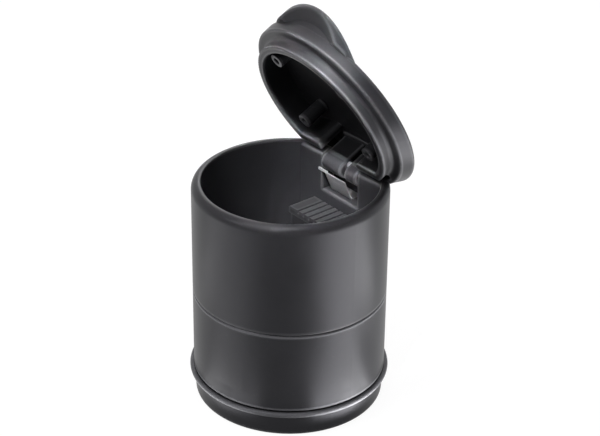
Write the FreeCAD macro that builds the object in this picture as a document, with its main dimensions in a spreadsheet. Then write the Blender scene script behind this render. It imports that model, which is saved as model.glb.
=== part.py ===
import FreeCAD, Part
import math
import os
import re
import Sketcher

# Car ashtray for a cup holder: a two-piece barrel on a beaded base, a hinged lid with a thumb lip,
# a ribbed rest for stubbing out, a steel hinge pin and a steel leaf spring.
# Millimetres, +Z up. The origin is the middle of the base's underside and the hinge is at +Y.

SIZES = {
    # barrel
    "barrel_radius": 34.0,
    "rim_height": 82.1,
    "wall": 3.3,
    "rim_round": 3.0,
    "rim_inner_round": 0.25,
    # parting line between the upper barrel and the ash bin
    "seam_height": 40.7,
    "seam_gap": 0.3,
    "seam_chamfer": 0.5,
    "spigot_length": 6.0,
    "spigot_clearance": 0.1,
    "bin_floor": 2.4,
    "bin_round": 3.0,
    # base with its bead
    "foot_inset": 0.6,
    "foot_height": 8.0,
    "foot_round": 0.8,
    "bead_overhang": 1.4,
    "bead_height": 1.9,
    "base_gap": 0.3,
    "base_floor": 2.2,
    "base_wall": 2.4,
    # flat wall inside the barrel, with the notch and the rear recess that the hinge works in
    "chord_inset": 8.55,
    "chord_wall": 2.85,
    "chord_root": 0.6,
    "chord_drop": 0.4,
    "chord_round": 1.9,
    "notch_width": 18.9,
    "notch_depth": 14.7,
    "notch_round": 0.4,
    "recess_width": 40.0,
    "recess_depth": 10.7,
    "recess_round": 4.0,
    "recess_floor": 2.4,
    "cheek_thickness": 3.4,
    "cheek_radius": 2.4,
    # hinge
    "hinge_setback": 3.25,
    "hinge_drop": 1.85,
    "pin_diameter": 2.0,
    "pin_fit": 0.02,
    "pin_running_fit": 0.06,
    "pin_chamfer": 0.3,
    "lid_angle": 64.4,
    "lid_gap": 0.2,
    # lid
    "lip_clearance": 0.95,
    "lip_wall": 2.8,
    "lip_depth": 4.2,
    "lip_round": 0.4,
    "lip_cove": 1.5,
    "lip_corner_round": 1.5,
    "cap_inset": 0.1,
    "cap_edge_round": 0.7,
    "cap_overhang": 0.94,
    "cap_shift": 1.24,
    "cap_flare": 4.33,
    "cap_top_round": 1.0,
    "cap_slope": 18.0,
    "roof_wall": 1.8,
    "roof_root": 0.1,
    "skirt_wall": 2.2,
    "pocket_margin": 1.0,
    "pocket_depth": 8.3,
    "arm_gap": 0.5,
    "arm_width": 10.1,
    "arm_slot": 2.2,
    "arm_front": 2.1,
    "arm_round": 3.2,
    "arm_reach": 1.8,
    "arm_root": 0.5,
    "arm_edge_round": 0.5,
    "boss_side": 16.6,
    "boss_inset": 3.26,
    "boss_flat_gap": 6.0,
    "boss_diameter": 5.2,
    "boss_hole": 2.6,
    "boss_hole_depth": 8.0,
    "boss_recess": 2.0,
    "tab_overhang": 4.47,
    "tab_radius": 21.7,
    "tab_rise": 11.06,
    "tab_arch": 45.0,
    "tab_fall": 3.7,
    "tab_thickness": 1.3,
    "tab_edge_round": 0.5,
    "tab_scoop_slope": 29.0,
    "tab_neck": 0.08,
    # ribbed rest
    "rest_drop": 19.5,
    "rest_width": 27.0,
    "rest_depth": 11.7,
    "rest_plate": 2.4,
    "rest_overhang": 0.5,
    "rest_skirt": 12.0,
    "rest_wall": 1.8,
    "rest_round": 0.3,
    "rest_peg": 3.0,
    "rest_peg_spacing": 17.0,
    "rest_peg_length": 2.0,
    "rest_peg_drop": 6.0,
    "peg_clearance": 0.1,
    "groove_count": 7,
    "groove_pitch": 2.85,
    "groove_width": 0.95,
    "groove_depth": 1.1,
    # leaf spring
    "leaf_width": 10.4,
    "leaf_left": 7.2,
    "leaf_thickness": 0.45,
    "leaf_front": 0.75,
    "leaf_top_drop": 6.9,
    "leaf_lean": 2.6,
    "leaf_bend_height": 1.8,
    "leaf_foot": 4.4,
    "ear_length": 3.7,
    "ear_height": 0.9,
    "ear_overlap": 1.0,
    "ear_wall_gap": 0.1,
    # how far a cutting outline starts or ends clear of the solid
    "overrun": 1.0,
}

# Radii and places that follow from the sizes, and that a formula names as it names a size
DERIVED = {
    "foot_radius": "barrel_radius - foot_inset",
    "bead_radius": "barrel_radius + bead_overhang",
    "chord_offset": "barrel_radius - wall - chord_inset",
    "hinge_offset": "chord_offset + hinge_setback",
    "cap_radius": "barrel_radius + cap_overhang",
    "dome_edge": "cap_radius - cap_top_round * (1 - sin(cap_slope))",
    "dome_radius": "dome_edge / sin(cap_slope)",
    "tab_reach": "cap_radius - cap_shift + tab_overhang",
}

# Heights and radii as formulas
BORE = "(barrel_radius - wall)"
STEP = "(barrel_radius - wall / 2)"
BIN_BASE = "(foot_height + bead_height + base_gap)"
BIN_INSIDE = "(foot_height + bead_height + base_gap + bin_floor)"
SEAM_SEAT = "(seam_height - spigot_length)"
CHORD_BACK = "(chord_offset + chord_wall)"
CHORD_TOP = "(rim_height - chord_drop)"
NOTCH_FLOOR = "(rim_height - notch_depth)"
HINGE_Z = "(rim_height - hinge_drop)"
CHEEK_SPAN = "(notch_width / 2 + cheek_thickness)"
FLANGE = "(rim_height + lid_gap)"
LIP_END = "(rim_height + lid_gap - lip_depth)"
CAP_WIDEST = "(rim_height + lid_gap + cap_flare)"
DOME_BASE = "(rim_height + lid_gap + cap_flare + cap_top_round * cos(cap_slope))"
DOME_CENTRE = "(%s - dome_radius * cos(cap_slope))" % DOME_BASE
TAB_TOP = "(rim_height + lid_gap + tab_rise)"
LIP_OUT = "(barrel_radius - wall - lip_clearance)"
LIP_IN = "(barrel_radius - wall - lip_clearance - lip_wall)"
FLAT_OUT = "(chord_offset - lip_clearance)"
FLAT_IN = "(chord_offset - lip_clearance - lip_wall)"
CAP_EDGE = "(barrel_radius - cap_inset)"
SKIRT_IN = "(barrel_radius - cap_inset - skirt_wall)"
BOSS_FRONT = "sqrt((%s - boss_inset)^2 - boss_side^2)" % LIP_IN
BOSS_REAR = "(%s - boss_flat_gap)" % FLAT_IN
POCKET_HALF = "(recess_width / 2 + pocket_margin)"
REST_TOP = "(rim_height - rest_drop)"
REST_FRONT = "(chord_offset - rest_depth)"
REST_PEG_Z = "(rim_height - rest_drop - rest_peg_drop)"
LEAF_TOP = "(rim_height - leaf_top_drop)"

doc = FreeCAD.newDocument("car_ashtray")
sheet = doc.addObject("Spreadsheet::Sheet", "sizes")
for row, (alias, size) in enumerate(SIZES.items(), start=1):
    sheet.set("A%d" % row, alias)
    sheet.set("B%d" % row, str(size))
    sheet.setAlias("B%d" % row, alias)
doc.recompute()

# how close a measured edge has to be to the size that it is looked for by
TOLERANCE = 1e-3
DERIVED_NAME = re.compile(r"\b(%s)\b" % "|".join(DERIVED))
ALIAS = re.compile(r"\b(%s)\b" % "|".join(sorted(SIZES, key=len, reverse=True)))


def formula(text):
    """The text with each size written as a reference to the sheet."""
    text = str(text)
    while DERIVED_NAME.search(text):
        text = DERIVED_NAME.sub(lambda found: "(%s)" % DERIVED[found.group()], text)
    return ALIAS.sub(r"sizes.\1", text)


def number(text):
    return float(sheet.evalExpression(formula(text)))


def new_body(label):
    body = doc.addObject("PartDesign::Body", label)
    body.Label = label
    return body


def new_sketch(body, role, name, lift="0"):
    """A sketch on one of the body's own origin planes, moved along that plane's normal."""
    plane = [item for item in body.Origin.OriginFeatures if item.Role == role][0]
    sketch = body.newObject("Sketcher::SketchObject", name)
    sketch.AttachmentSupport = [(plane, "")]
    sketch.MapMode = "FlatFace"
    sketch.setExpression("AttachmentOffset.Base.z", formula(lift))
    return sketch


def hold(sketch, kind, axis, geometry, end, text):
    """Ties one coordinate of a point to a formula."""
    if text == "0":
        sketch.addConstraint(Sketcher.Constraint("PointOnObject", geometry, end, axis))
        return
    index = sketch.addConstraint(Sketcher.Constraint(kind, -1, 1, geometry, end, number(text)))
    sketch.setExpression("Constraints[%d]" % index, formula(text))


def arc_between(start, end, radius, turn):
    """An arc from start to end, bending left for a turn of 1 and right for -1."""
    chord = end - start
    middle = (start + end) * 0.5
    side = FreeCAD.Vector(-chord.y, chord.x, 0).normalize() * turn
    rise = math.sqrt(max(radius ** 2 - (chord.Length / 2) ** 2, 0))
    centre = middle + side * rise
    first, last = (start, end) if turn > 0 else (end, start)
    angles = [math.atan2(p.y - centre.y, p.x - centre.x) for p in (first, last)]
    circle = Part.Circle(centre, FreeCAD.Vector(0, 0, 1), radius)
    return Part.ArcOfCircle(circle, angles[0], angles[1])


def outline(sketch, corners):
    """Closes lines and arcs through the corners. A corner is (x, y), or (x, y, radius, turn)
    where an arc arrives at it."""
    places = [FreeCAD.Vector(number(c[0]), number(c[1]), 0) for c in corners]
    first = sketch.GeometryCount
    ends = []
    for i, start in enumerate(places):
        follow = (i + 1) % len(places)
        spec = corners[follow]
        if len(spec) == 2:
            sketch.addGeometry(Part.LineSegment(start, places[follow]), False)
            ends.append((1, 2))
        else:
            sketch.addGeometry(arc_between(start, places[follow], number(spec[2]), spec[3]), False)
            ends.append((1, 2) if spec[3] > 0 else (2, 1))
    for i, corner in enumerate(corners):
        before = i - 1 if i else len(corners) - 1
        joint = Sketcher.Constraint("Coincident", first + before, ends[before][1], first + i, ends[i][0])
        sketch.addConstraint(joint)
        hold(sketch, "DistanceX", -2, first + i, ends[i][0], corner[0])
        hold(sketch, "DistanceY", -1, first + i, ends[i][0], corner[1])
        if len(corner) == 4:
            index = sketch.addConstraint(Sketcher.Constraint("Radius", first + before, number(corner[2])))
            sketch.setExpression("Constraints[%d]" % index, formula(corner[2]))


def rectangle(sketch, left, right, bottom, top):
    outline(sketch, [(left, bottom), (right, bottom), (right, top), (left, top)])


def ring(sketch, x, y, diameter):
    index = sketch.addGeometry(Part.Circle(FreeCAD.Vector(number(x), number(y), 0),
                                           FreeCAD.Vector(0, 0, 1), number(diameter) / 2), False)
    hold(sketch, "DistanceX", -2, index, 3, x)
    hold(sketch, "DistanceY", -1, index, 3, y)
    size = sketch.addConstraint(Sketcher.Constraint("Diameter", index, number(diameter)))
    sketch.setExpression("Constraints[%d]" % size, formula(diameter))


def revolve(body, sketch, kind="Revolution"):
    feature = body.newObject("PartDesign::" + kind, sketch.Name + "_turned")
    feature.Profile = sketch
    feature.ReferenceAxis = (sketch, ["V_Axis"])
    doc.recompute()
    return feature


def extrude(body, kind, sketch, length, backwards=False, symmetric=False):
    """A pad or a pocket, which has to add or take away material."""
    before = body.Shape.Volume if body.Tip and not body.Shape.isNull() else 0.0
    feature = body.newObject("PartDesign::" + kind, sketch.Name + "_" + kind.lower())
    feature.Profile = sketch
    feature.setExpression("Length", formula(length))
    feature.Reversed = backwards
    if symmetric:
        feature.SideType = "Symmetric"
    doc.recompute()
    change = body.Shape.Volume - before
    if change * (1 if kind == "Pad" else -1) <= 0:
        raise RuntimeError("%s changed the volume by %.3f" % (feature.Name, change))
    return feature


def round_edges(body, radius, name, wanted):
    """Fillets the edges of the body's last feature that the test picks."""
    base = body.Tip
    names = ["Edge%d" % (i + 1) for i, edge in enumerate(base.Shape.Edges) if wanted(edge)]
    if not names:
        raise RuntimeError("no edge to round for " + name)
    feature = body.newObject("PartDesign::Fillet", name)
    feature.Base = (base, names)
    feature.setExpression("Radius", formula(radius))
    doc.recompute()
    return feature


def near(value, text):
    return abs(value - number(text)) < TOLERANCE


def make_upper_barrel():
    """Tube with a rounded rim, a spigot below and the hinge's flat wall, recess and cheeks inside."""
    body = new_body("upper_barrel")
    wall = new_sketch(body, "XZ_Plane", "upper_wall")
    seam = "(seam_height + seam_gap / 2)"
    spigot = "(%s - spigot_clearance)" % STEP
    outline(wall, [
        (BORE, SEAM_SEAT),
        (spigot, SEAM_SEAT),
        (spigot, seam),
        ("barrel_radius - seam_chamfer / 2", seam),
        ("barrel_radius", seam + " + seam_chamfer / 2"),
        ("barrel_radius", "rim_height - rim_round"),
        ("barrel_radius - rim_round", "rim_height", "rim_round", 1),
        (BORE + " + rim_inner_round", "rim_height"),
        (BORE, "rim_height - rim_inner_round", "rim_inner_round", 1),
    ])
    revolve(body, wall)

    # the rear of the rim is cut down, so that the lid's skirt can swing through
    recess = new_sketch(body, "XZ_Plane", "rear_recess", "-chord_offset / 2")
    sill = "(rim_height - recess_depth)"
    open_top = "(rim_height + overrun)"
    outline(recess, [
        ("-recess_width / 2", open_top),
        ("-recess_width / 2", sill + " + recess_round"),
        ("recess_round - recess_width / 2", sill, "recess_round", 1),
        ("recess_width / 2 - recess_round", sill),
        ("recess_width / 2", sill + " + recess_round", "recess_round", 1),
        ("recess_width / 2", open_top),
    ])
    extrude(body, "Pocket", recess, "barrel_radius")

    # the flat wall closes the cup off from the hinge
    embed = "(%s + chord_root)" % BORE
    front_end = "sqrt(%s^2 - chord_offset^2)" % embed
    back_end = "sqrt(%s^2 - %s^2)" % (embed, CHORD_BACK)
    chord = new_sketch(body, "XY_Plane", "flat_wall", seam)
    outline(chord, [
        ("-" + front_end, "chord_offset", embed, 1),
        (front_end, "chord_offset"),
        (back_end, CHORD_BACK, embed, 1),
        ("-" + back_end, CHORD_BACK),
    ])
    extrude(body, "Pad", chord, "%s - %s" % (CHORD_TOP, seam))
    round_edges(body, "chord_round", "flat_wall_edge", lambda edge: (
        near(edge.BoundBox.YMin, "chord_offset") and near(edge.BoundBox.YMax, "chord_offset")
        and near(edge.BoundBox.ZMin, CHORD_TOP) and near(edge.BoundBox.ZMax, CHORD_TOP)))

    middle = "(chord_offset + chord_wall / 2)"
    floor_end = "sqrt(%s^2 - %s^2)" % (embed, middle)
    floor = new_sketch(body, "XY_Plane", "hinge_floor", NOTCH_FLOOR + " - recess_floor")
    outline(floor, [("-" + floor_end, middle, embed, 1), (floor_end, middle)])
    extrude(body, "Pad", floor, "recess_floor")

    cheeks = new_sketch(body, "YZ_Plane", "hinge_cheeks")
    cheek_back = "(hinge_offset + cheek_radius)"
    cheek_foot = NOTCH_FLOOR + " - recess_floor / 2"
    outline(cheeks, [
        (middle, cheek_foot),
        (cheek_back, cheek_foot),
        (cheek_back, HINGE_Z),
        ("hinge_offset", HINGE_Z + " + cheek_radius", "cheek_radius", 1),
        ("hinge_offset - cheek_radius", HINGE_Z, "cheek_radius", 1),
        (middle, HINGE_Z),
    ])
    extrude(body, "Pad", cheeks, "2 * " + CHEEK_SPAN, symmetric=True)

    notch = new_sketch(body, "XY_Plane", "hinge_notch", NOTCH_FLOOR)
    rectangle(notch, "-notch_width / 2", "notch_width / 2",
              "chord_offset - overrun", cheek_back + " + overrun")
    extrude(body, "Pocket", notch, "notch_depth + cheek_radius", backwards=True)
    round_edges(body, "notch_round", "notch_edge", lambda edge: (
        near(edge.BoundBox.YMin, "chord_offset") and near(edge.BoundBox.YMax, "chord_offset")
        and near(edge.BoundBox.ZMin, NOTCH_FLOOR) and near(edge.BoundBox.ZMax, NOTCH_FLOOR)))

    pin_hole = new_sketch(body, "YZ_Plane", "pin_hole")
    ring(pin_hole, "hinge_offset", HINGE_Z, "pin_diameter + 2 * pin_fit")
    extrude(body, "Pocket", pin_hole, "2 * %s + overrun" % CHEEK_SPAN, symmetric=True)

    peg_holes = new_sketch(body, "XZ_Plane", "peg_holes", "-chord_offset")
    for side in "-", "":
        ring(peg_holes, side + "rest_peg_spacing / 2", REST_PEG_Z, "rest_peg + 2 * peg_clearance")
    extrude(body, "Pocket", peg_holes, "rest_peg_length + peg_clearance")
    return body


def make_ash_bin():
    """Lower half of the barrel: a cup with a socket above and a spigot that stands in the base."""
    body = new_body("ash_bin")
    wall = new_sketch(body, "XZ_Plane", "bin_wall")
    seam = "(seam_height - seam_gap / 2)"
    spigot = "(foot_radius - base_wall - spigot_clearance)"
    outline(wall, [
        ("0", BIN_BASE),
        (spigot + " - base_wall", BIN_BASE),
        (spigot + " - base_wall", "base_floor"),
        (spigot, "base_floor"),
        (spigot, BIN_BASE),
        ("barrel_radius - seam_chamfer / 2", BIN_BASE),
        ("barrel_radius", BIN_BASE + " + seam_chamfer / 2"),
        ("barrel_radius", seam + " - seam_chamfer"),
        ("barrel_radius - seam_chamfer", seam),
        (STEP, seam),
        (STEP, SEAM_SEAT),
        (BORE, SEAM_SEAT),
        (BORE, BIN_INSIDE + " + bin_round"),
        (BORE + " - bin_round", BIN_INSIDE, "bin_round", -1),
        ("0", BIN_INSIDE),
    ])
    revolve(body, wall)
    return body


def make_base():
    """Flat-bottomed foot with a half-round bead round its top."""
    body = new_body("base")
    wall = new_sketch(body, "XZ_Plane", "base_wall_section")
    bead_round = "(bead_height / 2)"
    outline(wall, [
        ("0", "0"),
        ("foot_radius - foot_round", "0"),
        ("foot_radius", "foot_round", "foot_round", 1),
        ("foot_radius", "foot_height"),
        ("bead_radius - bead_height / 2", "foot_height"),
        ("bead_radius", "foot_height + bead_height / 2", bead_round, 1),
        ("bead_radius - bead_height / 2", "foot_height + bead_height", bead_round, 1),
        ("foot_radius - base_wall", "foot_height + bead_height"),
        ("foot_radius - base_wall", "base_floor"),
        ("0", "base_floor"),
    ])
    revolve(body, wall)
    return body


def make_stub_rest():
    """Hollow block on the flat wall, with grooves across its top for stubbing out."""
    body = new_body("stub_rest")
    plate = new_sketch(body, "XY_Plane", "rest_top", REST_TOP + " - rest_plate")
    rectangle(plate, "-rest_width / 2", "rest_width / 2", REST_FRONT, "chord_offset")
    extrude(body, "Pad", plate, "rest_plate")
    round_edges(body, "rest_round", "rest_edge", lambda edge: (
        near(edge.BoundBox.ZMin, REST_TOP) and edge.BoundBox.YMin < number("chord_offset") - TOLERANCE))

    skirt_half = "(rest_width / 2 - rest_overhang)"
    skirt_front = "(%s + rest_overhang)" % REST_FRONT
    skirt_end = REST_TOP + " - rest_plate - rest_skirt"
    skirt = new_sketch(body, "XY_Plane", "rest_skirt_plan", skirt_end)
    rectangle(skirt, "-" + skirt_half, skirt_half, skirt_front, "chord_offset")
    extrude(body, "Pad", skirt, "rest_skirt")

    hollow = new_sketch(body, "XY_Plane", "rest_hollow", skirt_end)
    inner_half = "(%s - rest_wall)" % skirt_half
    rectangle(hollow, "-" + inner_half, inner_half,
              skirt_front + " + rest_wall", "chord_offset - rest_wall")
    extrude(body, "Pocket", hollow, "rest_skirt", backwards=True)

    grooves = new_sketch(body, "XY_Plane", "rest_grooves", REST_TOP)
    count = int(number("groove_count"))
    for i in range(count):
        centre = "(%s) * groove_pitch" % (i - (count - 1) / 2)
        rectangle(grooves, centre + " - groove_width / 2", centre + " + groove_width / 2",
                  REST_FRONT + " - overrun", "chord_offset + overrun")
    extrude(body, "Pocket", grooves, "groove_depth")

    pegs = new_sketch(body, "XZ_Plane", "rest_pegs", "-chord_offset")
    for side in "-", "":
        ring(pegs, side + "rest_peg_spacing / 2", REST_PEG_Z, "rest_peg")
    extrude(body, "Pad", pegs, "rest_peg_length", backwards=True)
    return body


def roof(distance):
    """Height of the lid's inner roof, a dome, at a distance from the lid's axis."""
    return "(%s + sqrt((dome_radius - roof_wall)^2 - (%s)^2))" % (DOME_CENTRE, distance)


def make_lid_cap():
    """Lid as it lies when closed: a domed cap over a D-shaped lip, with screw bosses and hinge arms."""
    body = new_body("lid_cap")
    lip = new_sketch(body, "XZ_Plane", "lip_section")
    wall_foot = "(%s + cap_edge_round)" % FLANGE
    outline(lip, [
        (LIP_IN, LIP_END + " + lip_round"),
        (LIP_IN + " + lip_round", LIP_END, "lip_round", 1),
        (LIP_OUT + " - lip_round", LIP_END),
        (LIP_OUT, LIP_END + " + lip_round", "lip_round", 1),
        (LIP_OUT, FLANGE + " - lip_cove"),
        (LIP_OUT + " + lip_cove", FLANGE, "lip_cove", -1),
        (CAP_EDGE + " - cap_edge_round", FLANGE),
        (CAP_EDGE, wall_foot, "cap_edge_round", 1),
        (LIP_IN, wall_foot),
    ])
    revolve(body, lip)

    # the wall leans back from the flange to the widest edge, whose centre lies nearer the hinge
    low = new_sketch(body, "XY_Plane", "cap_wall_low", wall_foot)
    ring(low, "0", "0", "2 * " + CAP_EDGE)
    high = new_sketch(body, "XY_Plane", "cap_wall_high", CAP_WIDEST)
    ring(high, "0", "cap_shift", "2 * cap_radius")
    wall = body.newObject("PartDesign::AdditiveLoft", "cap_wall")
    wall.Profile = low
    wall.Sections = [high]
    wall.Ruled = True
    doc.recompute()
    dome = new_sketch(body, "XZ_Plane", "cap_dome", "-cap_shift")
    outline(dome, [
        ("0", CAP_WIDEST),
        ("cap_radius", CAP_WIDEST),
        ("dome_edge", DOME_BASE, "cap_top_round", 1),
        ("0", DOME_CENTRE + " + dome_radius", "dome_radius", 1),
    ])
    revolve(body, dome)
    hollow = new_sketch(body, "XZ_Plane", "cap_hollow")
    outline(hollow, [
        ("0", LIP_END),
        (LIP_IN, LIP_END),
        (LIP_IN, roof(LIP_IN)),
        ("0", roof("0"), "dome_radius - roof_wall", 1),
    ])
    revolve(body, hollow, "Groove")

    # the flat side of the lip, parallel to the hinge
    embed = "(%s + lip_wall / 2)" % LIP_IN
    inner_end = "sqrt(%s^2 - %s^2)" % (embed, FLAT_IN)
    outer_end = "sqrt(%s^2 - %s^2)" % (embed, FLAT_OUT)
    flat = new_sketch(body, "XY_Plane", "lip_flat", LIP_END)
    outline(flat, [
        ("-" + inner_end, FLAT_IN, embed, 1),
        (inner_end, FLAT_IN),
        (outer_end, FLAT_OUT, embed, 1),
        ("-" + outer_end, FLAT_OUT),
    ])
    wall_top = roof("sqrt(%s^2 + (notch_width / 2)^2)" % FLAT_IN)
    wall_height = "%s + roof_root - %s" % (wall_top, LIP_END)
    extrude(body, "Pad", flat, wall_height)

    # behind it the cap is open from below, and only its skirt is left
    pocket_end = "sqrt(%s^2 - %s^2)" % (SKIRT_IN, POCKET_HALF)
    pocket = new_sketch(body, "XY_Plane", "skirt_pocket", LIP_END)
    outline(pocket, [
        ("-" + POCKET_HALF, FLAT_OUT),
        (POCKET_HALF, FLAT_OUT),
        (POCKET_HALF, pocket_end),
        ("-" + POCKET_HALF, pocket_end, SKIRT_IN, 1),
    ])
    extrude(body, "Pocket", pocket, "pocket_depth", backwards=True)

    gap = new_sketch(body, "XY_Plane", "arm_opening", LIP_END)
    rectangle(gap, "-notch_width / 2", "notch_width / 2",
              FLAT_IN + " - overrun", FLAT_OUT + " + overrun")
    extrude(body, "Pocket", gap, wall_height, backwards=True)
    round_edges(body, "lip_corner_round", "lip_corner", lambda edge: (
        near(abs(edge.BoundBox.XMin), "notch_width / 2") and near(abs(edge.BoundBox.XMax), "notch_width / 2")
        and near(edge.BoundBox.YMin, FLAT_IN) and near(edge.BoundBox.YMax, FLAT_IN)))

    # two arms hang from the roof into the notch, with rounded ends about the pin
    arm_left = "(arm_gap - notch_width / 2)"
    lug_left = "(arm_gap - notch_width / 2 + arm_width + arm_slot)"
    lug_right = "(notch_width / 2 - arm_gap)"
    arm_face = "(hinge_offset - arm_front)"
    end_z = "(%s - arm_reach)" % HINGE_Z
    pocket_roof = "(%s + pocket_depth)" % LIP_END
    for name, left, right in (("wide_arm", arm_left, arm_left + " + arm_width"),
                              ("narrow_arm", lug_left, lug_right)):
        arm = new_sketch(body, "YZ_Plane", name, left)
        outline(arm, [
            (arm_face, end_z),
            (arm_face + " + arm_round", end_z + " - arm_round", "arm_round", 1),
            (arm_face + " + 2 * arm_round", end_z, "arm_round", 1),
            (arm_face + " + 2 * arm_round", pocket_roof + " + arm_root"),
            (arm_face, roof(arm_face) + " + roof_root"),
        ])
        extrude(body, "Pad", arm, "%s - %s" % (right, left))
        round_edges(body, "arm_edge_round", name + "_edge", lambda edge: (
            edge.BoundBox.XLength < TOLERANCE
            and (near(edge.BoundBox.XMin, left) or near(edge.BoundBox.XMin, right))
            and edge.BoundBox.ZMin < number(pocket_roof) - TOLERANCE))
    pin_hole = new_sketch(body, "YZ_Plane", "arm_pin_hole")
    ring(pin_hole, "hinge_offset", HINGE_Z, "pin_diameter + 2 * pin_running_fit")
    extrude(body, "Pocket", pin_hole, "notch_width", symmetric=True)

    boss_end = LIP_END + " + boss_recess"
    bosses = new_sketch(body, "XY_Plane", "bosses", boss_end)
    holes = new_sketch(body, "XY_Plane", "boss_holes", boss_end)
    for side in "-", "":
        for place in "-" + BOSS_FRONT, BOSS_REAR:
            ring(bosses, side + "boss_side", place, "boss_diameter")
            ring(holes, side + "boss_side", place, "boss_hole")
    boss_top = roof("sqrt(boss_side^2 + %s^2)" % BOSS_REAR)
    extrude(body, "Pad", bosses, "%s + roof_root - (%s)" % (boss_top, boss_end))
    extrude(body, "Pocket", holes, "boss_hole_depth", backwards=True)
    return body


def cylinder(name, radius, height, place, turn=None):
    """A cylinder whose base centre follows three formulas."""
    item = doc.addObject("Part::Cylinder", name)
    item.setExpression("Radius", formula(radius))
    item.setExpression("Height", formula(height))
    item.Placement = FreeCAD.Placement(FreeCAD.Vector(0, 0, 0), turn or FreeCAD.Rotation())
    for axis, text in zip("xyz", place):
        item.setExpression("Placement.Base." + axis, formula(text))
    return item


def cut(name, base, tool):
    item = doc.addObject("Part::Cut", name)
    item.Base = base
    item.Tool = tool
    return item


def leaning_cylinder(name, radius, top, slope):
    """A cylinder along Y under a top line that starts ahead of the lid at a height and falls to the rear."""
    lean = FreeCAD.Rotation(FreeCAD.Vector(1, 0, 0), -90 - number(slope))
    ahead = "tab_radius"
    place = (
        "0",
        "-tab_reach - %s * sin(%s) - %s * cos(%s)" % (radius, slope, ahead, slope),
        "%s - %s * cos(%s) + %s * sin(%s)" % (top, radius, slope, ahead, slope),
    )
    return cylinder(name, radius, "4 * tab_radius", place, lean)


def make_thumb_lip():
    """Arched visor that stands up from the dome at the front and is scooped out below."""
    height = "%s - %s" % (TAB_TOP, CAP_WIDEST)
    puck = cylinder("tab_puck", "tab_radius", height, ("0", "tab_radius - tab_reach", CAP_WIDEST))
    arch = leaning_cylinder("tab_arch_top", "tab_arch", TAB_TOP, "tab_fall")
    visor = doc.addObject("Part::Common", "tab_visor")
    visor.Base = puck
    visor.Tool = arch
    rounded = doc.addObject("Part::Fillet", "tab_rounded")
    rounded.Base = visor
    doc.recompute()
    edge_round = number("tab_edge_round")
    rounded.Edges = [(i + 1, edge_round, edge_round) for i, edge in enumerate(visor.Shape.Edges)
                     if edge.BoundBox.XLength > edge_round
                     and edge.BoundBox.ZMax > number(CAP_WIDEST) + TOLERANCE]
    scoop = leaning_cylinder("tab_scoop", "tab_arch", TAB_TOP + " - tab_thickness", "tab_scoop_slope")
    neck = cylinder("tab_neck_core", "cap_radius - tab_neck", height, ("0", "cap_shift", CAP_WIDEST))
    scooped = cut("tab_scooped", rounded, cut("tab_scoop_ring", scoop, neck))
    hollow = doc.addObject("Part::Sphere", "tab_hollow")
    hollow.setExpression("Radius", formula("dome_radius - roof_wall / 2"))
    hollow.setExpression("Placement.Base.z", formula(DOME_CENTRE))
    return cut("tab", scooped, hollow)


def make_lid():
    """The cap with its thumb lip, turned open about the hinge."""
    cap = make_lid_cap()
    tab = make_thumb_lip()
    lid = doc.addObject("Part::MultiFuse", "lid")
    lid.Label = "lid"
    lid.Shapes = [cap, tab]
    doc.recompute()
    hinge = FreeCAD.Vector(0, number("hinge_offset"), number(HINGE_Z))
    opened = FreeCAD.Rotation(FreeCAD.Vector(1, 0, 0), -number("lid_angle"))
    lid.Placement = FreeCAD.Placement(FreeCAD.Vector(0, 0, 0), opened, hinge)
    return lid


def make_hinge_pin():
    """Steel pin through the cheeks and the lid's arms."""
    sideways = FreeCAD.Rotation(FreeCAD.Vector(0, 1, 0), 90)
    left_end = ("-" + CHEEK_SPAN, "hinge_offset", HINGE_Z)
    pin = cylinder("pin_rod", "pin_diameter / 2", "2 * " + CHEEK_SPAN, left_end, sideways)
    ends = doc.addObject("Part::Chamfer", "hinge_pin")
    ends.Label = "hinge_pin"
    ends.Base = pin
    doc.recompute()
    chamfer = number("pin_chamfer")
    ends.Edges = [(i + 1, chamfer, chamfer) for i, edge in enumerate(pin.Shape.Edges)
                  if edge.BoundBox.XLength < TOLERANCE]
    return ends


def make_leaf_spring():
    """Bent steel strip on the hinge floor, leaning out under the arms, with an ear on the flat wall."""
    body = new_body("leaf_spring")
    strip = new_sketch(body, "YZ_Plane", "leaf_strip", "-leaf_left")
    top_y = "(chord_offset - leaf_front)"
    bend_y = "(%s + leaf_lean)" % top_y
    foot_y = "(%s + leaf_bend_height / 2)" % bend_y
    bend_z = "(%s + leaf_bend_height)" % NOTCH_FLOOR
    foot_top = "(%s + leaf_thickness)" % NOTCH_FLOOR
    outline(strip, [
        (top_y, LEAF_TOP),
        (bend_y, bend_z),
        (foot_y, NOTCH_FLOOR),
        (foot_y + " + leaf_foot", NOTCH_FLOOR),
        (foot_y + " + leaf_foot", foot_top),
        (foot_y + " + leaf_thickness / 2", foot_top),
        (bend_y + " + leaf_thickness", bend_z),
        (top_y + " + leaf_thickness", LEAF_TOP),
    ])
    extrude(body, "Pad", strip, "leaf_width")

    ear = new_sketch(body, "XZ_Plane", "leaf_ear", "ear_wall_gap - chord_offset")
    rectangle(ear, "-leaf_left - ear_length", "ear_overlap - leaf_left",
              LEAF_TOP + " - ear_height / 2", LEAF_TOP + " + ear_height / 2")
    extrude(body, "Pad", ear, "leaf_thickness")
    return body


parts = [
    make_upper_barrel(),
    make_ash_bin(),
    make_base(),
    make_stub_rest(),
    make_lid(),
    make_hinge_pin(),
    make_leaf_spring(),
]
doc.recompute()

for item in doc.Objects:
    if "Invalid" in item.State or "Error" in item.State:
        raise RuntimeError("%s failed: %s" % (item.Name, item.State))
for item in parts:
    shape = item.Shape
    if shape.isNull() or not shape.isValid() or len(shape.Solids) != 1:
        raise RuntimeError("%s has no valid single solid" % item.Label)

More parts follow.
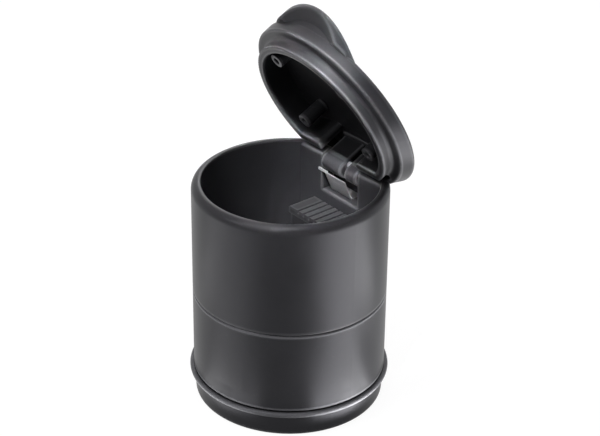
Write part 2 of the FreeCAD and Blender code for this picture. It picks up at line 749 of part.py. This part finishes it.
os.makedirs("parts", exist_ok=True)
for item in parts:
    item.Shape.exportStep("parts/%s.step" % item.Label)
    box = item.Shape.optimalBoundingBox()
    print("%-14s %9.1f mm3  x %.2f..%.2f  y %.2f..%.2f  z %.2f..%.2f" % (
        item.Label, item.Shape.Volume, box.XMin, box.XMax, box.YMin, box.YMax, box.ZMin, box.ZMax))
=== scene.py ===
"""Looks of the car ashtray: satin charcoal mouldings, bright spring steel, white studio."""
import math

import bmesh
import bpy
from mathutils import Matrix, Vector

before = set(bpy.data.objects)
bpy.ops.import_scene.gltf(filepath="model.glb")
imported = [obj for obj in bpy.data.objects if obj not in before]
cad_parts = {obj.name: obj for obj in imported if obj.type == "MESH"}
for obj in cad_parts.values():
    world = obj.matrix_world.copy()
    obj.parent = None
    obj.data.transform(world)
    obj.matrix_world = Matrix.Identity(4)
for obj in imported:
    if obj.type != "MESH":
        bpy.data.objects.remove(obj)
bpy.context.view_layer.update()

# Lengths are in metres, angles in degrees and lamps in watts. Places are in the frame of the packed
# model, and colours are linear.

# Camera of the photograph: where it stands about the barrel's axis, and how it is turned.
VIEW_AZIMUTH = 50.41
VIEW_DISTANCE = 0.5589
VIEW_HEIGHT = 0.3786
VIEW_PITCH = 29.12
VIEW_YAW = 0.34
VIEW_ROLL = 0.72
VIEW_LENS_MM = 111.6
VIEW_SENSOR_MM = 36.0

# The lid as it stands open: how far it has swung, its axis and the middle of its domed roof.
LID_OPEN = 64.4
LID_AXIS = Vector((0.0, math.sin(math.radians(LID_OPEN)), math.cos(math.radians(LID_OPEN))))
CROWN = Vector((0.0, 0.02538, 0.10772))
CROWN_REACH = 0.0032

# Charcoal mouldings: the two tones of their mottling, roughness from smooth to rough, and edge radius.
CHARCOAL_DARK = (0.0115, 0.0115, 0.0129)
CHARCOAL_LIGHT = (0.0157, 0.0157, 0.0175)
CHARCOAL_SMOOTH = 0.35
CHARCOAL_ROUGH = 0.43
CHARCOAL_ROUND = 0.0005

# Stub rest: the same values for its darker, duller plastic.
REST_DARK = (0.0073, 0.0073, 0.0079)
REST_LIGHT = (0.0102, 0.0102, 0.0112)
REST_SMOOTH = 0.45
REST_ROUGH = 0.55
REST_ROUND = 0.0002

# Surface that all the plastics share: mottling, fine grain and a cool, weak gloss.
MOTTLING_SCALE = 60.0
MOTTLING_DETAIL = 4.0
GRAIN_SCALE = 3200.0
GRAIN_DETAIL = 2.0
GRAIN_STRENGTH = 0.06
GRAIN_DEPTH = 0.0002
PLASTIC_SPECULAR = 0.22
PLASTIC_TINT = (0.92, 0.91, 1.0)

# Painted highlights along edges: their lighter tone on each moulding, how much smoother the edges are, and
# how far they reach in. The last two are the shares of solid material around a point at which they start and
# are full.
BARREL_EDGE_HIGHLIGHT = (0.050, 0.050, 0.053)
BIN_EDGE_HIGHLIGHT = (0.180, 0.180, 0.193)
LID_EDGE_HIGHLIGHT = (0.083, 0.083, 0.089)
REST_EDGE_HIGHLIGHT = (0.020, 0.020, 0.0215)
EDGE_GLOSS = 0.10
EDGE_REACH = 0.00125
EDGE_START = 0.95
EDGE_FULL = 0.83

# Painted shade in hollows: its dark tone, its reach, and the shares of open air at which it is full and has
# gone.
HOLLOW_SHADE = (0.0066, 0.0066, 0.0071)
HOLLOW_SHADE_REACH = 0.003
HOLLOW_SHADE_FULL = 0.20
HOLLOW_SHADE_GONE = 0.70

# Spring steel: two tones, roughness, edge radius, and rolled lines that run along X.
STEEL_DARK = (0.52, 0.52, 0.53)
STEEL_LIGHT = (0.72, 0.72, 0.73)
STEEL_SMOOTH = 0.26
STEEL_ROUGH = 0.42
STEEL_ROUND = 0.0003
STEEL_METALLIC = 0.8
LINES_STRETCH = (120.0, 2400.0, 2400.0)
LINES_DETAIL = 3.0
LINES_STRENGTH = 0.1
LINES_DEPTH = 0.00005

# How a mask turns from the dark to the light tone, and how finely hollows and edges are traced.
TONE_START = 0.35
TONE_END = 0.65
HOLLOW_SAMPLES = 8
BEVEL_SAMPLES = 6

# Inputs of a Mix node for each kind of data, and its result.
MIX_SOCKETS = {"VECTOR": (4, 5, 1), "RGBA": (6, 7, 2)}

# Studio: a floor that is white to the eye but gives back little light, and a dim world.
WHITE = (1.0, 1.0, 1.0)
FLOOR_SIZE = 8.0
FLOOR_GREY = (0.12, 0.12, 0.12)
FLOOR_ROUGH = 0.9
FLOOR_GLOW = 0.95
AMBIENT = 0.06

# What the lamps point at, the radius at which the floor cards start and how high they lie.
LIGHT_TARGET = Vector((0.0, 0.0, 0.06))
MOUTH = Vector((0.0, 0.005, 0.085))
BARREL_FOOT = 0.036
CARD_LIFT = 0.003
CUP_LAMP_SIZE = 0.03
CUP_LAMP_SPREAD = 8.0


def add(tree, kind, inputs=None, **settings):
    """A node with its settings, and its inputs set to a value or linked to another node's socket."""
    node = tree.nodes.new(kind)
    for key, value in settings.items():
        setattr(node, key, value)
    for key, value in (inputs or {}).items():
        if isinstance(value, bpy.types.NodeSocket):
            tree.links.new(value, node.inputs[key])
        else:
            node.inputs[key].default_value = value
    return node


def new_material(name):
    """A material, its node tree and its shader."""
    material = bpy.data.materials.new(name)
    material.use_nodes = True
    tree = material.node_tree
    return material, tree, tree.nodes["Principled BSDF"]


def opaque(tone):
    """A colour with its alpha."""
    return (*tone, 1.0)


def two_tones(tree, mask, dark, light):
    """Goes from a dark to a light colour by a mask."""
    ramp = add(tree, "ShaderNodeValToRGB", {"Fac": mask})
    start, end = ramp.color_ramp.elements
    start.position = TONE_START
    end.position = TONE_END
    start.color = opaque(dark)
    end.color = opaque(light)
    return ramp.outputs["Color"]


def blend(tree, kind, mask, below, above):
    """Goes from one colour or vector to another by a mask."""
    first, second, result = MIX_SOCKETS[kind]
    mix = add(tree, "ShaderNodeMix", {0: mask, first: below, second: above}, data_type=kind)
    return mix.outputs[result]


def spread(tree, mask, low, high):
    """Maps a mask of 0 to 1 to a range."""
    fit = add(tree, "ShaderNodeMapRange", {"Value": mask, "To Min": low, "To Max": high})
    return fit.outputs["Result"]


def rise(tree, value, start, full):
    """A mask that is 0 at one value and 1 at another."""
    fit = add(tree, "ShaderNodeMapRange", {"Value": value, "From Min": start, "From Max": full})
    return fit.outputs["Result"]


def edge_highlight_mask(tree):
    """Mask of the painted edge highlights: 1 along outward edges, where the material is thin all round, and 0
    on faces and in corners.
    """
    depth = add(tree, "ShaderNodeAmbientOcclusion", {"Distance": EDGE_REACH},
                samples=HOLLOW_SAMPLES, inside=True, only_local=True)
    return rise(tree, depth.outputs["AO"], EDGE_START, EDGE_FULL)


def painted_hollow_shade(tree, tone):
    """A colour darkened in corners, slots and recesses: painted shade."""
    air = add(tree, "ShaderNodeAmbientOcclusion", {"Distance": HOLLOW_SHADE_REACH}, samples=HOLLOW_SAMPLES)
    clear = rise(tree, air.outputs["AO"], HOLLOW_SHADE_FULL, HOLLOW_SHADE_GONE)
    return blend(tree, "RGBA", clear, opaque(HOLLOW_SHADE), tone)


def crown_normal(tree, place, normal):
    """A normal that is straight along the lid's axis round the middle of its crown, inside and out.

    All triangles of the domed roof meet there in one point, which would show as a dent.
    """
    gap = add(tree, "ShaderNodeVectorMath", {0: place, 1: CROWN}, operation="DISTANCE")
    near = add(tree, "ShaderNodeMath", {0: gap.outputs["Value"], 1: CROWN_REACH}, operation="LESS_THAN")
    axis = add(tree, "ShaderNodeVectorTransform", {"Vector": LID_AXIS},
               vector_type="NORMAL", convert_from="OBJECT", convert_to="WORLD").outputs["Vector"]
    face = add(tree, "ShaderNodeNewGeometry").outputs["True Normal"]
    lean = add(tree, "ShaderNodeVectorMath", {0: face, 1: axis}, operation="DOT_PRODUCT")
    side = add(tree, "ShaderNodeMath", {0: lean.outputs["Value"]}, operation="SIGN")
    straight = add(tree, "ShaderNodeVectorMath", {0: axis, "Scale": side.outputs["Value"]}, operation="SCALE")
    return blend(tree, "VECTOR", near.outputs["Value"], normal, straight.outputs["Vector"])


def satin_plastic(name, dark, light, edge_highlight, smooth, rough, edge_round, crowned=False):
    """Moulded plastic with a fine spark-eroded grain, a faint mottling, softened edges, painted highlights
    along its edges and painted shade in its hollows.
    """
    material, tree, shader = new_material(name)
    place = add(tree, "ShaderNodeTexCoord").outputs["Object"]
    mottling = add(tree, "ShaderNodeTexNoise", {
        "Vector": place, "Scale": MOTTLING_SCALE, "Detail": MOTTLING_DETAIL}).outputs["Fac"]
    grain = add(tree, "ShaderNodeTexNoise", {
        "Vector": place, "Scale": GRAIN_SCALE, "Detail": GRAIN_DETAIL}).outputs["Fac"]
    # Painted highlight: outward edges get a lighter tone in the base colour.
    edge = edge_highlight_mask(tree)
    # Painted shade: the mottled tone darkens in hollows.
    tone = painted_hollow_shade(tree, two_tones(tree, mottling, dark, light))
    tree.links.new(blend(tree, "RGBA", edge, tone, opaque(edge_highlight)), shader.inputs["Base Color"])
    satin = spread(tree, mottling, smooth, rough)
    gloss = add(tree, "ShaderNodeMath", {0: edge, 1: -EDGE_GLOSS, 2: satin}, operation="MULTIPLY_ADD")
    tree.links.new(gloss.outputs["Value"], shader.inputs["Roughness"])
    normal = add(tree, "ShaderNodeBevel", {"Radius": edge_round}, samples=BEVEL_SAMPLES).outputs["Normal"]
    if crowned:
        normal = crown_normal(tree, place, normal)
    relief = add(tree, "ShaderNodeBump", {
        "Height": grain, "Normal": normal, "Strength": GRAIN_STRENGTH, "Distance": GRAIN_DEPTH})
    tree.links.new(relief.outputs["Normal"], shader.inputs["Normal"])
    shader.inputs["Specular IOR Level"].default_value = PLASTIC_SPECULAR
    shader.inputs["Specular Tint"].default_value = opaque(PLASTIC_TINT)
    return material


def spring_steel(name):
    """Cold-rolled steel with fine lines along the strip and softened edges."""
    material, tree, shader = new_material(name)
    place = add(tree, "ShaderNodeTexCoord").outputs["Object"]
    drawn = add(tree, "ShaderNodeMapping", {"Vector": place, "Scale": LINES_STRETCH})
    lines = add(tree, "ShaderNodeTexNoise", {
        "Vector": drawn.outputs["Vector"], "Scale": 1.0, "Detail": LINES_DETAIL}).outputs["Fac"]
    tree.links.new(two_tones(tree, lines, STEEL_DARK, STEEL_LIGHT), shader.inputs["Base Color"])
    tree.links.new(spread(tree, lines, STEEL_SMOOTH, STEEL_ROUGH), shader.inputs["Roughness"])
    normal = add(tree, "ShaderNodeBevel", {"Radius": STEEL_ROUND}, samples=BEVEL_SAMPLES).outputs["Normal"]
    relief = add(tree, "ShaderNodeBump", {
        "Height": lines, "Normal": normal, "Strength": LINES_STRENGTH, "Distance": LINES_DEPTH})
    tree.links.new(relief.outputs["Normal"], shader.inputs["Normal"])
    shader.inputs["Metallic"].default_value = STEEL_METALLIC
    return material


def dress(node, material):
    """Gives a CAD node its finish."""
    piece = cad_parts[node]
    if not piece.material_slots:
        piece.data.materials.append(material)
    for slot in piece.material_slots:
        slot.material = material


def seen_by_camera(tree):
    """1 for what the camera, a mirror or glass sees of the background, and 0 for the light it gives."""
    path = add(tree, "ShaderNodeLightPath")
    seen = path.outputs["Is Camera Ray"]
    for ray in ("Is Glossy Ray", "Is Transmission Ray"):
        joined = add(tree, "ShaderNodeMath", {0: seen, 1: path.outputs[ray]}, operation="MAXIMUM")
        seen = joined.outputs["Value"]
    return seen


def make_floor():
    """White floor that glows to the eye and still takes a faint shadow."""
    mesh = bpy.data.meshes.new("studio_floor")
    shape = bmesh.new()
    bmesh.ops.create_grid(shape, x_segments=1, y_segments=1, size=FLOOR_SIZE / 2)
    shape.to_mesh(mesh)
    shape.free()
    floor = bpy.data.objects.new("studio_floor", mesh)
    bpy.context.scene.collection.objects.link(floor)
    material, tree, shader = new_material("studio_white")
    shader.inputs["Base Color"].default_value = opaque(FLOOR_GREY)
    shader.inputs["Roughness"].default_value = FLOOR_ROUGH
    shader.inputs["Specular IOR Level"].default_value = 0.0
    shader.inputs["Emission Color"].default_value = opaque(WHITE)
    glow = spread(tree, seen_by_camera(tree), 0.0, FLOOR_GLOW)
    tree.links.new(glow, shader.inputs["Emission Strength"])
    mesh.materials.append(material)


def make_world():
    """White to the camera and in reflections, and a soft grey light on the object."""
    world = bpy.data.worlds.new("studio")
    world.use_nodes = True
    tree = world.node_tree
    output = tree.nodes["World Output"]
    ambient = tree.nodes["Background"]
    ambient.inputs["Color"].default_value = opaque(WHITE)
    ambient.inputs["Strength"].default_value = AMBIENT
    white = add(tree, "ShaderNodeBackground", {"Color": opaque(WHITE), "Strength": 1.0})
    mix = add(tree, "ShaderNodeMixShader", {
        "Fac": seen_by_camera(tree), 1: ambient.outputs["Background"], 2: white.outputs["Background"]})
    tree.links.new(mix.outputs["Shader"], output.inputs["Surface"])
    bpy.context.scene.world = world


def around(bearing, elevation, distance):
    """A step from the object, at a bearing to the right of the camera."""
    azimuth = math.radians(VIEW_AZIMUTH + bearing)
    climb = math.radians(elevation)
    level = math.cos(climb) * distance
    return Vector((math.sin(azimuth) * level, -math.cos(azimuth) * level, math.sin(climb) * distance))


def facing(place, target):
    """The turn with which a lamp at a place shines at a target."""
    return (target - place).to_track_quat("-Z", "Y").to_euler()


def hang_lamp(name, outline, width, height, power, place, turn):
    """An area lamp that the camera doesn't see."""
    lamp = bpy.data.lights.new(name, "AREA")
    lamp.shape = outline
    lamp.size = width
    lamp.size_y = height
    lamp.energy = power
    light = bpy.data.objects.new(name, lamp)
    light.location = place
    light.rotation_euler = turn
    light.visible_camera = False
    bpy.context.scene.collection.objects.link(light)
    return lamp


def softbox(name, bearing, elevation, distance, width, height, power):
    """A rectangular lamp that faces the object."""
    place = LIGHT_TARGET + around(bearing, elevation, distance)
    hang_lamp(name, "RECTANGLE", width, height, power, place, facing(place, LIGHT_TARGET))


def floor_card(name, root, heading, near, far, width, power):
    """A lamp that lies on the floor and shines up, for a streak down the barrel's side.

    It leads from a point at the barrel's foot along a heading, both as bearings from the camera.
    """
    place = around(root, 0.0, BARREL_FOOT) + around(heading, 0.0, (near + far) / 2)
    place.z = CARD_LIFT
    turn = (math.pi, 0.0, math.radians(VIEW_AZIMUTH + heading))
    hang_lamp(name, "RECTANGLE", width, far - near, power, place, turn)


def cup_lamp(bearing, elevation, distance, power):
    """A narrow lamp that shines through the mouth on to the hinge and the rest."""
    place = MOUTH + around(bearing, elevation, distance)
    lamp = hang_lamp("cup_lamp", "DISK", CUP_LAMP_SIZE, CUP_LAMP_SIZE, power, place, facing(place, MOUTH))
    lamp.spread = math.radians(CUP_LAMP_SPREAD)


def make_camera():
    """The photograph's camera."""
    lens = bpy.data.cameras.new("camera")
    lens.lens = VIEW_LENS_MM
    lens.sensor_width = VIEW_SENSOR_MM
    camera = bpy.data.objects.new("camera", lens)
    heading = Matrix.Rotation(math.radians(VIEW_AZIMUTH - VIEW_YAW), 4, "Z")
    tilt = Matrix.Rotation(math.radians(90.0 - VIEW_PITCH), 4, "X")
    roll = Matrix.Rotation(math.radians(VIEW_ROLL), 4, "Z")
    place = around(0.0, 0.0, VIEW_DISTANCE) + Vector((0.0, 0.0, VIEW_HEIGHT))
    camera.matrix_world = Matrix.Translation(place) @ heading @ tilt @ roll
    bpy.context.scene.collection.objects.link(camera)
    bpy.context.scene.camera = camera


def charcoal_plastic(name, edge_highlight, crowned=False):
    """The plastic of the barrel, the bin, the base and the lid, which differ only in how bright their painted
    edge highlights are.
    """
    return satin_plastic(name, CHARCOAL_DARK, CHARCOAL_LIGHT, edge_highlight,
                         CHARCOAL_SMOOTH, CHARCOAL_ROUGH, CHARCOAL_ROUND, crowned)


# Finishes of the pieces
# The three charcoal materials are one plastic; only the tone of their painted edge highlights differs.
barrel_plastic = charcoal_plastic("barrel_plastic", BARREL_EDGE_HIGHLIGHT)
bin_plastic = charcoal_plastic("bin_plastic", BIN_EDGE_HIGHLIGHT)
lid_plastic = charcoal_plastic("lid_plastic", LID_EDGE_HIGHLIGHT, crowned=True)
rest_plastic = satin_plastic(
    "rest_plastic", REST_DARK, REST_LIGHT, REST_EDGE_HIGHLIGHT, REST_SMOOTH, REST_ROUGH, REST_ROUND)
steel = spring_steel("spring_steel")

dress("upper_barrel", barrel_plastic)
for name in ("ash_bin", "base"):
    dress(name, bin_plastic)
dress("lid", lid_plastic)
dress("stub_rest", rest_plastic)
for name in ("hinge_pin", "leaf_spring"):
    dress(name, steel)

# Studio
make_floor()
make_world()
floor_card("right_card_foot", root=36.0, heading=40.0, near=0.000, far=0.012, width=0.028, power=0.0095)
floor_card("right_card_near", root=32.0, heading=68.0, near=0.008, far=0.060, width=0.046, power=0.040)
floor_card("right_card_far", root=34.0, heading=68.0, near=0.060, far=0.300, width=0.150, power=0.76)
floor_card("left_card_foot", root=-44.0, heading=-48.0, near=0.000, far=0.012, width=0.034, power=0.0034)
floor_card("left_card_near", root=-36.0, heading=-74.0, near=0.008, far=0.060, width=0.048, power=0.0100)
floor_card("left_card_far", root=-37.0, heading=-74.0, near=0.060, far=0.300, width=0.160, power=0.19)
softbox("key_box", bearing=-58.0, elevation=46.0, distance=0.75, width=0.30, height=0.30, power=1.6)
softbox("top_box", bearing=-20.0, elevation=82.0, distance=0.80, width=0.50, height=0.50, power=2.5)
softbox("back_box", bearing=178.0, elevation=38.0, distance=0.80, width=0.50, height=0.40, power=1.45)
cup_lamp(bearing=-18.0, elevation=60.0, distance=0.50, power=0.036)
make_camera()
bpy.context.scene.view_settings.view_transform = "Standard"
